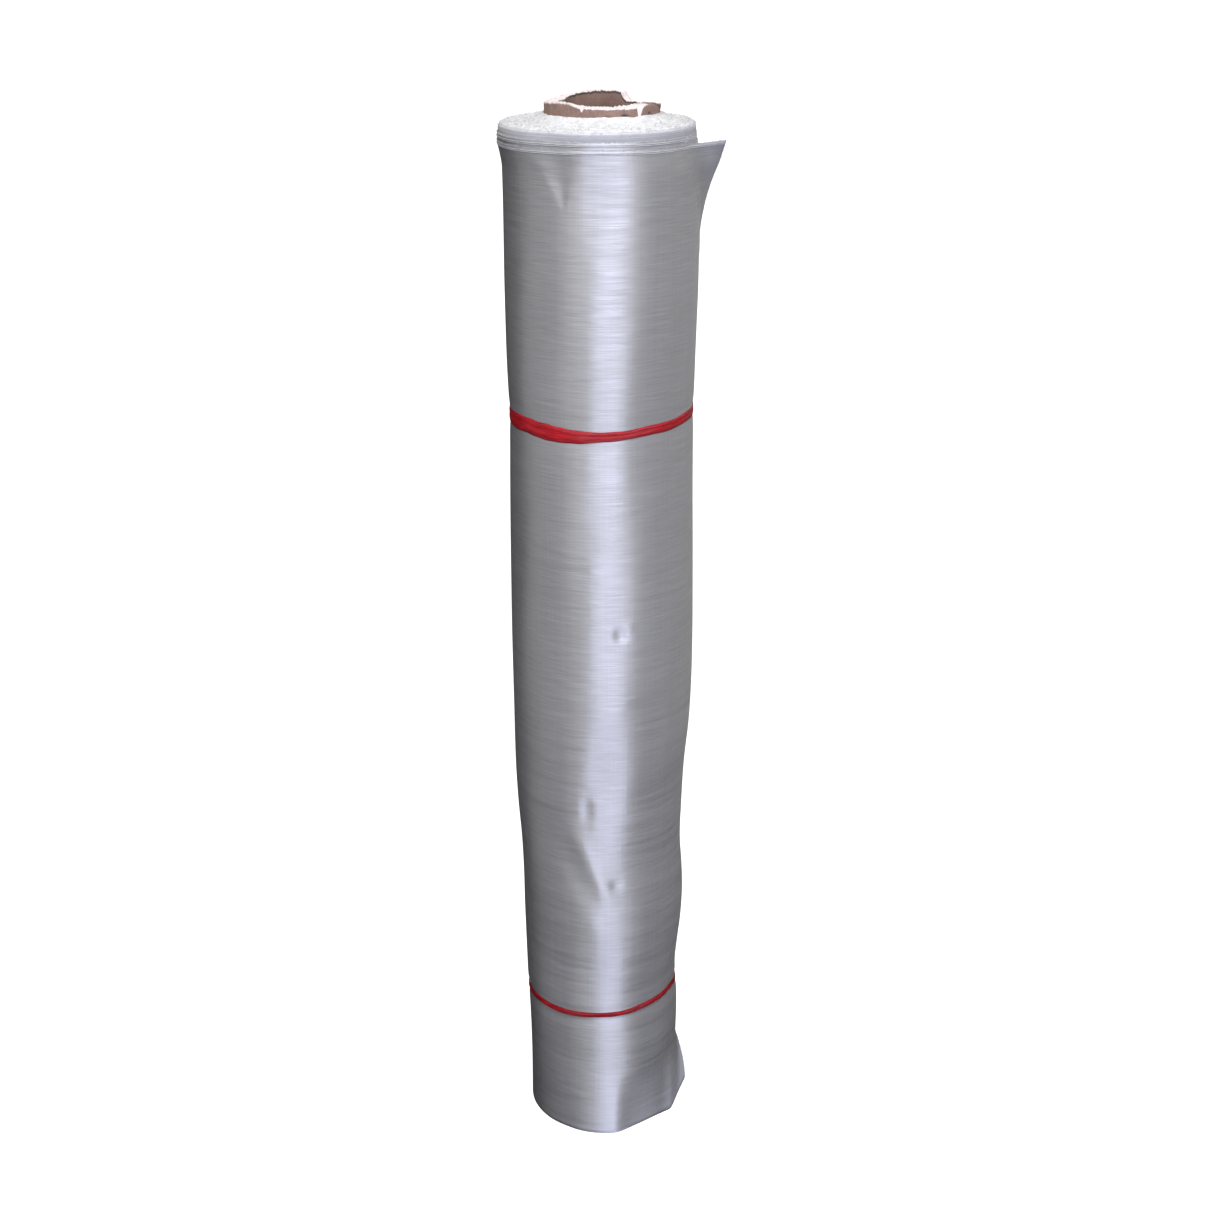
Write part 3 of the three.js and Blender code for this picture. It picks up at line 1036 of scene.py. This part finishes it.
@dataclass
class Windings:
    """The tight turns under the two slack ones, with their spiral ends."""

    form: WoundForm
    inside: float = 0.0017
    rim_height: float = 1.0
    rim_round: float = 0.0058
    telescope: float = 0.0058
    telescope_span: float = 0.015
    pitch: float = 0.00105
    columns: int = 288
    end_rows: int = 112
    side_rows: int = 44
    turn_spread: float = 0.00042
    turn_ridge: float = 0.0006
    lumps: float = 0.00035
    seeds: tuple[int, int] = (5, 8)  # of the top's and the foot's turns
    stub_count: int = 4600
    stubs: Fringe = Fringe((0.0007, 0.0021), 0.5, 0.00022, 0.00016)

    def end_height(self, angle: Array, radius: Array, seed: int) -> Array:
        """Relief of an end: spiral turns, each a round ridge with its own height.

        The turn under a point is the whole part of its distance from the first turn plus its share of a full
        circle. A ridge falls off with the square of the distance from its middle.

        Args:
            angle: round the roll.
            radius: from the axis.
            seed: of the turns' heights.

        Returns:
            Heights above the end's plane.
        """
        turns = (radius - self.form.first_turn) / self.pitch + np.asarray(angle) / FULL_TURN
        whole = np.floor(turns)
        draw = np.random.default_rng(seed).normal(0, self.turn_spread, 64)
        heights = draw[np.clip(whole.astype(int) + 4, 0, len(draw) - 1)]
        ridge = 1 - (2 * (turns - whole) - 1) ** 2
        dome = self.telescope * (1 - fade(0, self.telescope_span, radius - self.form.first_turn))
        spot = direction(angle) * np.asarray(radius)[..., None]
        return dome + heights + self.turn_ridge * ridge + Ripple(self.lumps, seed + 3, 0.05, 0.004).at(spot)

    def profile(self, angle: Array) -> tuple[Array, Array, Array]:
        """Rows of the closed section at each angle: up the side, over the rim, inwards, down, outwards.

        Returns:
            Radii, heights and the end marks, each (rows, columns).
        """
        side = np.linspace(0.0, self.rim_height - self.rim_round, self.side_rows)[:, None]
        side_radius = self.form.under(angle[None], side + 0 * angle, self.inside)
        rim = side_radius[-1]
        bow = np.radians(np.linspace(0, 90, 7)[1:])[:, None]
        bow_radius = rim - self.rim_round * (1 - np.cos(bow))
        bow_height = self.rim_height - self.rim_round * (1 - np.sin(bow))
        inner = self.form.first_turn
        share = np.linspace(0, 1, self.end_rows)[1:, None]
        top_radius = bow_radius[-1] + (inner - bow_radius[-1]) * share
        relief = self.end_height(angle[None] + 0 * top_radius, top_radius, self.seeds[0])
        top_height = self.rim_height + relief * fade(0, 0.06, share)
        share = np.linspace(0, 1, self.end_rows // 2)[:-1, None]
        foot_radius = inner + (side_radius[0] - inner) * share
        relief = self.end_height(angle[None] + 0 * foot_radius, foot_radius, self.seeds[1])
        foot_height = np.maximum(relief, 0.0003) * (1 - fade(0.9, 1, share))
        radii = [side_radius, bow_radius, top_radius, foot_radius]
        heights = [side + 0 * side_radius, bow_height + 0 * bow_radius, top_height, foot_height]
        marks = [fade(0.986, 0.992, heights[0]) * 0.5, 0.5 + 0.5 * fade(0, 1, bow / bow[-1]) + 0 * heights[1]]
        marks += [np.ones_like(top_radius), np.ones_like(foot_radius)]
        return np.concatenate(radii), np.concatenate(heights), np.concatenate(marks)

    def build(self, edges: Material, stubs: Material) -> list[Piece]:
        """Makes the windings and the fuzz of yarn ends on their top."""
        angle = even_angles(self.columns)
        radius, height, mark = self.profile(angle)
        points = self.form.place(angle[None] + 0 * radius, radius, height)
        body = grid_object("windings", points, Seam.RING, marks={"end": mark})
        return [finish_piece(body, edges, Slot.CLOTH, "cloth_roll"), self.fuzz(stubs)]

    def fuzz(self, stubs: Material) -> Piece:
        """Yarn ends that stand up from the top, denser and longer towards the rim."""
        draw = np.random.default_rng(21)
        share = draw.uniform(0, 1, self.stub_count) ** 0.5
        angle = draw.uniform(-180, 180, self.stub_count)
        edge = self.form.under(angle, np.full_like(angle, self.rim_height - self.rim_round), self.inside)
        radius = self.form.first_turn + 0.0008 + share * (edge - self.form.first_turn - 0.001)
        past = np.clip(1 - (edge - radius) / self.rim_round, 0, 1)
        sunk = self.rim_round * (1 - np.sqrt(1 - past**2))
        height = self.rim_height + self.end_height(angle, radius, self.seeds[0]) * (1 - past) - sunk
        roots = self.form.place(angle, radius, height - 0.0003)
        way = direction(angle) * past[:, None] * 1.2
        fuzz = self.stubs.grow("top_fuzz", draw, roots, way, rise=1.0 - 0.6 * past)
        return finish_piece(fuzz, stubs, Slot.CLOTH)


@dataclass
class SecondTurn:
    """The turn under the last one: its top edge stands higher."""

    form: WoundForm
    inside: float = 0.0011
    top: float = 0.99
    columns: int = 256
    map_radius: float = 0.086

    def build(self, cloth: Material) -> Piece:
        """Makes the turn as a closed sleeve and gives it its thickness inwards."""
        angle = np.linspace(-180, 180, self.columns + 1)
        heights = np.concatenate([np.linspace(0.001, 0.9, 96), np.linspace(0.905, self.top, 22)])
        turn, height = np.meshgrid(angle[:-1], heights)
        points = self.form.place(turn, self.form.under(turn, height, self.inside), height)
        uv = np.stack(np.meshgrid(np.radians(angle) * self.map_radius, heights), -1)
        return finish_layer(grid_object("second_turn", points, Seam.ROUND, uv), cloth)

    def edge_line(self, height: float, out: float) -> Array:
        """A closed line round the turn at one height."""
        angle = even_angles(400)
        level = np.full_like(angle, height)
        return self.form.place(angle, self.form.under(angle, level, self.inside - out), level)


@dataclass
class Selvedge:
    """Edge threads near the top edges of the two slack turns, and the weft ends above them."""

    last: LastTurn
    second: SecondTurn
    thread: float = 0.00034
    drop: float = 0.0031
    gap: float = 0.0012
    spacing: float = 0.00042
    sunk: float = 0.0006
    bite: float = 0.0001
    rooted: float = 0.0005
    weft: Fringe = Fringe((0.0012, 0.0026), 0.14, 0.00008)
    warp: Fringe = Fringe((0.0012, 0.0042), 0.1, 0.00012)
    warp_ends: int = 1100
    curl: float = 0.12  # of the warp ends, towards the roll

    def ends(self, name: str, line: Array, seed: int) -> Piece:
        """Makes weft ends that stand up along a line, a little uneven and leaning.

        Args:
            name: the object's name.
            line: (n, 3) points of the cloth's edge.
            seed: of the places and leans.

        Returns:
            The linked object.
        """
        draw = np.random.default_rng(seed)
        length = np.concatenate([[0], np.cumsum(np.linalg.norm(np.diff(line, axis=0), axis=1))])
        count = int(length[-1] / self.spacing)
        at = np.sort(draw.uniform(0, length[-1], count))
        roots = np.stack([np.interp(at, length, line[:, i]) for i in range(3)], -1)
        return self.weft.grow(name, draw, roots, rise=1.0)

    def frayed_cut(self, seed: int) -> Piece:
        """Makes warp ends that run on past the cut edge, level and a little uneven.

        Args:
            seed: of the places and leans.

        Returns:
            The linked object.
        """
        draw = np.random.default_rng(seed)
        heights = np.sort(draw.uniform(0.004, self.last.top - 0.002, self.warp_ends))
        arcs = self.last.arcs()
        points, _ = self.last.surface(arcs, heights)
        roots = points[:, -1]
        run = roots - points[:, -3]
        run /= np.linalg.norm(run, axis=1, keepdims=True)
        back = direction(np.degrees(np.arctan2(roots[:, 0], -roots[:, 1])))
        way = run - back * self.curl
        return self.warp.grow("cut_edge_fringe", draw, roots, way, sunk=run * self.rooted)

    def build(self, white: Material) -> list[Piece]:
        """Makes two threads on each turn and the fringes of both turns and of the cut edge."""
        out = self.thread * 0.4
        made = []
        for number in range(2):
            level = self.last.top - self.drop + (1 - number) * self.gap
            line = self.last.edge_line(level, out)
            made.append(tube(f"last_turn_thread_{number + 1}", line, self.thread, 6, closed=False))
            level = self.second.top - self.drop * 0.6 - number * self.gap
            line = self.second.edge_line(level, out)
            made.append(tube(f"second_turn_thread_{number + 1}", line, self.thread, 6, closed=True))
        last, second = (turn.edge_line(turn.top - self.sunk, -self.bite) for turn in (self.last, self.second))
        made.append(self.ends("last_turn_fringe", last, 31))
        made.append(self.ends("second_turn_fringe", np.concatenate([second, second[:1]]), 32))
        made.append(self.frayed_cut(33))
        return [finish_piece(piece, white, Slot.CLOTH) for piece in made]


@dataclass
class TornCore:
    """The cardboard tube that the cloth is wound on, its top rim torn all round."""

    axis: Pair
    bore: float = 0.038
    outside: float = 0.05
    top: float = 1.021
    columns: int = 432
    torn_rows: int = 14
    outer_drop: Knots = (
        (-180, 0.0), (-165, 0.5), (-150, 2.0), (-120, 5.3), (-90, 6.2), (-70, 4.4), (-46, 2.6), (-34, 3.2),
        (-27, 5.0), (-21.0, 6.7), (-19.3, 11.0), (-17.6, 7.0), (-10, 6.9), (0, 7.2), (12, 7.0), (25, 7.4),
        (33, 6.6), (37, 6.6), (38.6, 15.0), (41, 14.4), (43.2, 7.4), (48, 5.2), (60, 4.9), (70, 5.2),
        (84, 6.7), (96, 8.0), (122, 9.2), (146, 9.0), (151, 5.0), (154, 0.5), (180, 0.0),
    )
    inner_drop: Knots = (
        (-180, 0.0), (-150, 1.5), (-120, 5.0), (-90, 6.0), (-60, 4.6), (-40, 4.6), (-27, 6.0), (-10, 6.2),
        (0, 6.3), (20, 6.1), (35, 5.6), (50, 4.7), (70, 5.2), (90, 7.0), (120, 8.8), (146, 8.6), (151, 5.0),
        (154, 0.6), (180, 0.0),
    )
    splay: Knots = (
        (-180, 0.0), (-60, 0.2), (0, 0.3), (45, 1.2), (80, 2.2), (110, 1.6), (150, 0.2), (180, 0.0),
    )
    ragged: Ripple = Ripple(0.00028, 43, 0.012, 0.0016)
    frayed: Ripple = Ripple(0.00016, 44, 0.0025, 0.0009)
    crumple: Ripple = Ripple(0.0003, 47, 0.02, 0.004)
    wobble: Ripple = Ripple(0.0002, 48, 0.01, 0.002)
    mottle: Ripple = Ripple(1.0, 49, 0.01, 0.003)
    # painted shadow: dark patches on the outer skin just under the torn rim, given to the shadow mark as
    # middle angle, span and strength
    patches: tuple[Triple, ...] = ((24, 8, 0.62), (6, 6, 0.45), (54, 5, 0.6))
    unbleached: tuple[Triple, ...] = ((60, 13, 0.62),)

    @staticmethod
    def spots(angle: Array, spots: tuple[Triple, ...]) -> Array:
        """Sum of bell curves, each with its middle, its span and its strength."""
        return sum(strength * bell(wrap(angle - middle), span) for middle, span, strength in spots)

    def rim(self, angle: Array, share: Array) -> Array:
        """Height of the torn rim: straight between the two edges' listed drops, with ragged plies.

        Args:
            angle: round the tube.
            share: 0 at the outside, 1 at the bore.

        Returns:
            Heights.
        """
        turn = wrap(angle)
        outer, inner = straight(self.outer_drop, turn), straight(self.inner_drop, turn)
        drop = (outer + (inner - outer) * share**0.8) * MM
        spot = round_axis((0.0, 0.0), turn, self.outside, 0.004 * np.broadcast_to(share, turn.shape))
        ply = np.random.default_rng(41).normal(0, 0.00035, 8)[np.clip((share * 7.99).astype(int), 0, 7)]
        return self.top - drop + ply * (share > 0) * (share < 1) + self.ragged.at(spot) + self.frayed.at(spot)

    def build(self, board: Material) -> Piece:
        """Makes the tube as one closed skin: up the outside, across the torn rim, down the bore.

        Each row of points holds its radius, its height, and its marks torn and shadow.

        Args:
            board: the material.

        Returns:
            The linked object.
        """
        angle = even_angles(self.columns)
        levels = np.concatenate([[0.0, 0.25, 0.6, 0.97, 0.99], np.linspace(0.994, 1.0, 6)])
        outer_top, inner_top = self.rim(angle, 0 * angle), self.rim(angle, 0 * angle + 1)
        splay = straight(self.splay, angle) * MM
        # painted shadow along the rim's inner edge and the top of the bore, round the back half
        back = fade(100, 118, np.abs(wrap(angle + 16)))
        skin = direction(angle) * self.outside
        clean = 1 - self.spots(angle, self.unbleached) - 0.2 * fade(0.2, 1.2, self.mottle.at(skin))
        patches = self.spots(angle, self.patches)
        bend = self.crumple.at(skin) + splay
        rows: list[tuple[Field, Field, Field, Field]] = [(self.outside, level, 0, 0) for level in levels]
        # rows up the outer wall to the torn edge; the lower two carry the painted shadow patches in their
        # shadow mark
        for part in (0.3, 0.6, 0.85):
            rows.append((self.outside + bend * part, 1 + (outer_top - 1) * part, 0, patches * (part < 0.8)))
        for share in np.linspace(0, 1, self.torn_rows):
            radius = self.outside + (self.bore - self.outside) * share
            radius = radius + self.wobble.at(skin + [0, 0, share]) + splay
            rows.append((radius, self.rim(angle, 0 * angle + share), clean, back * fade(0.85, 0.99, share)))
        for part, torn in ((0.94, 0.5), (0.8, 0), (0.5, 0)):
            shadow = back * fade(0.85, 1.0, part)
            rows.append((self.bore + splay * part, 1 + (inner_top - 1) * part, torn, shadow))
        rows += [(self.bore, level, 0, 0) for level in levels[::-1]]
        full = [np.broadcast_arrays(*row, angle)[:4] for row in rows]
        radius, height, torn, shadow = (np.stack(part) for part in zip(*full))
        points = round_axis(self.axis, angle[None] + 0 * radius, radius, height)
        core = grid_object("torn_core", points, Seam.RING, marks={"torn": torn, "shadow": shadow})
        return finish_piece(core, board, Slot.CARDBOARD, "core_tube")


@dataclass
class TiedRibbon:
    """A red ribbon round the roll: flat, or bunched into a cord. It lies flatter round the sides and back."""

    form: WoundForm
    tie: Tie
    name: str
    node: str
    thickness: float
    bow: float
    folds: int
    columns: int = 300
    clearance: float = 0.0004
    slimming: float = 0.5
    map_size: Pair = (0.085, 0.012)  # radius and width on the ribbon's map
    noise_radius: float = 0.08
    uneven: Ripple = Ripple(0.03, 61, 0.05, 0.01)
    sway: Ripple = Ripple(0.0003, 62, 0.12, 0.03)
    crumple: Ripple = Ripple(0.08, 63, 0.03, 0.006)

    def section(self) -> tuple[Array, Array]:
        """Closed cross-section in shares of the width and of the thickness.

        The outside rises in a low arch with folds on it, and the inside lies flat on the cloth.

        Returns:
            Places across and out, going round the section.
        """
        across = np.linspace(-0.5, 0.5, 13)
        arch = (1 - (2 * across) ** 4) * (1 - self.bow) + self.bow * (1 - (2 * across) ** 2)
        crest = 1 + 0.22 * np.cos(2 * np.pi * self.folds * (across + 0.17))
        outside = np.maximum(arch, 0.0) * crest
        inside = np.linspace(0.5, -0.5, 7)[1:-1]
        return np.concatenate([across, inside]), np.concatenate([outside, np.zeros(5)])

    def build(self, red: Material) -> Piece:
        """Makes the ribbon as a closed ring that follows the cloth."""
        angle = np.linspace(-180, 180, self.columns + 1)
        across, out = self.section()
        turn, part = np.meshgrid(angle[:-1], across)
        _, lift = np.meshgrid(angle[:-1], out)
        spot = direction(turn) * self.noise_radius
        width = self.tie.width(turn) * (1 + self.uneven.at(spot))
        middle = self.tie.height(turn)
        height = middle + self.sway.at(spot + [0, 0, 0.3]) + part * width
        section = round_axis((0.0, 0.0), turn, self.noise_radius, part * 0.01)
        slim = 1 - self.slimming * fade(55, 90, np.abs(turn))
        thickness = self.thickness * (1 + self.crumple.at(section)) * slim
        radius = self.form.radius(turn, middle) + self.clearance + lift * thickness
        points = self.form.place(turn, radius, height)
        arc, width = np.radians(angle) * self.map_size[0], np.append(across, across[0]) * self.map_size[1]
        uv = np.stack(np.meshgrid(arc, width), -1)
        return finish_piece(grid_object(self.name, points, Seam.RING, uv), red, Slot.RIBBON, self.node)


@dataclass(frozen=True)
class Lamp:
    """A soft rectangular lamp that stands round the roll and aims at a height on its axis."""

    name: str
    angle: float
    away: float
    height: float
    size: Pair
    power: float  # watts
    aim: float
    tint: Triple = (1.0, 1.0, 1.0)

    def hang(self, axis: Pair) -> None:
        """Adds the lamp, turned towards its aim."""
        data = bpy.data.lights.new(self.name, "AREA")
        data.shape = "RECTANGLE"
        data.size, data.size_y = self.size
        data.energy = self.power
        data.color = self.tint
        lamp = bpy.data.objects.new(self.name, data)
        spot = round_axis(axis, np.array(self.angle), self.away, self.height)
        look = np.array([*axis, self.aim]) - spot
        lamp.location = spot
        lamp.rotation_euler = Vector(look).to_track_quat("-Z", "Y").to_euler()
        bpy.context.scene.collection.objects.link(lamp)


@dataclass(frozen=True)
class Screen:
    """An upright card that runs round the roll through some angles, at one distance."""

    name: str
    angles: Pair
    columns: int
    levels: Pair
    away: float

    def build(self, axis: Pair) -> Piece:
        """Makes the card as one row of faces."""
        angle, height = np.meshgrid(np.linspace(*self.angles, self.columns), self.levels)
        return grid_object(self.name, round_axis(axis, angle, self.away, height), Seam.OPEN)


@dataclass(frozen=True)
class Studio:
    """Camera, lights and floor, measured from the roll's axis."""

    axis: Pair
    distance: float = 1.667
    eye: float = 1.177
    pitch: float = 20.73
    sideways: float = 0.005
    lens: float = 55.22
    floor_radius: float = 40.0
    surround: float = 0.58
    surround_tint: Triple = (1.0, 0.985, 0.96)
    lamps: tuple[Lamp, ...] = (
        Lamp("front_strip", 9.0, 2.6, 0.75, (1.75, 1.9), 46.0, 0.5, (0.7, 0.74, 1.0)),
        Lamp("overhead", 0.0, 0.7, 2.4, (2.0, 1.0), 24.0, 1.0),
    )
    card_grey: Triple = (0.05, 0.048, 0.046)
    under_radius: float = 6.0
    under_level: float = -0.004
    screens: tuple[Screen, ...] = (
        Screen("behind_card", (163.0, 254.0), 40, (-0.3, 3.0), 1.7),
        Screen("low_card", (48.0, 325.0), 60, (-0.003, 0.42), 0.9),
    )

    def camera(self) -> None:
        """Places the camera as the photograph's was."""
        data = bpy.data.cameras.new("camera")
        data.lens = self.lens
        data.sensor_width = 36.0
        data.clip_start, data.clip_end = 0.05, 100.0
        camera = bpy.data.objects.new("camera", data)
        camera.location = (self.axis[0] + self.sideways, self.axis[1] - self.distance, self.eye)
        camera.rotation_euler = (math.radians(90 - self.pitch), 0.0, 0.0)
        bpy.context.scene.collection.objects.link(camera)
        bpy.context.scene.camera = camera

    def floor(self) -> None:
        """Adds a wide disc that the camera sees but that throws no light back."""
        disc = self.disc("studio_floor", self.floor_radius, 0.0)
        disc.data.materials.append(StudioFloor().make())
        disc.visible_diffuse = False
        disc.visible_glossy = False

    @staticmethod
    def disc(name: str, radius: float, height: float, sides: int = 96) -> Piece:
        """Makes a level disc that faces up."""
        turn = np.linspace(0, 2 * np.pi, sides, endpoint=False)
        rim = np.stack([np.cos(turn), np.sin(turn), 0 * turn], -1) * radius
        points = np.concatenate([rim, np.zeros((1, 3))]) + [0, 0, height]
        index = np.arange(sides)
        return smooth_object(name, points, np.stack([index, (index + 1) % sides, 0 * index + sides], -1))

    def cards(self) -> None:
        """Adds dark cards that only reflections and soft light meet: under, behind and low round the roll."""
        card = Nodes("dark_card")
        card.finish({"Base Color": (*self.card_grey, 1.0), "Roughness": 1.0, "Specular IOR Level": 0.0})
        pieces = [self.disc("under_card", self.under_radius, self.under_level)]
        pieces += [screen.build(self.axis) for screen in self.screens]
        for piece in pieces:
            piece.data.materials.append(card.material)
            piece.visible_camera = False
            piece.visible_shadow = False
            piece.visible_transmission = False

    def world(self) -> None:
        """Sets an even grey surround."""
        world = bpy.data.worlds.new("surround")
        world.use_nodes = True
        background = world.node_tree.nodes["Background"]
        background.inputs["Color"].default_value = (*self.surround_tint, 1.0)
        background.inputs["Strength"].default_value = self.surround
        bpy.context.scene.world = world

    def build(self) -> None:
        """Sets up everything round the roll."""
        self.camera()
        self.floor()
        self.cards()
        self.world()
        for lamp in self.lamps:
            lamp.hang(self.axis)
        view = bpy.context.scene.view_settings
        view.view_transform = "Standard"
        view.look = "None"


def main() -> None:
    """Builds the roll piece by piece."""
    logging.basicConfig(level=logging.INFO, format="%(message)s")
    low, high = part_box("core_tube")
    axis = ((low.x + high.x) / 2, (low.y + high.y) / 2)
    Studio(axis).build()
    form = WoundForm(axis=axis)
    cloth, white = SatinCloth().make(), YarnEnds().make()
    windings = Windings(form).build(WoundEdge().make(), white)
    second = SecondTurn(form)
    under = second.build(cloth)
    last = LastTurn(form)
    sheet = last.build(cloth)
    selvedge = YarnEnds(white=(0.6, 0.6, 0.62), shade=(0.4, 0.4, 0.42)).make()
    edges = Selvedge(last, second).build(selvedge)
    flat = (last.cut - last.start, last.top)
    TornCore(axis).build(Cardboard().make())
    # painted shade: the bunched cord gets a darker copy of the ribbon's colours for its self-shadow
    bunched = Ribbon(bright=(0.6, 0.008, 0.018), deep=(0.09, 0.001, 0.003), name="shaded_bunched_ribbon")
    upper = TiedRibbon(form, UPPER_TIE, "upper_ribbon", "upper_band", thickness=0.0009, bow=0.2, folds=2)
    upper.build(Ribbon().make())
    lower = TiedRibbon(form, LOWER_TIE, "lower_ribbon", "lower_band", thickness=0.0019, bow=0.9, folds=3)
    lower.build(bunched.make())


if __name__ == "__main__":
    main()
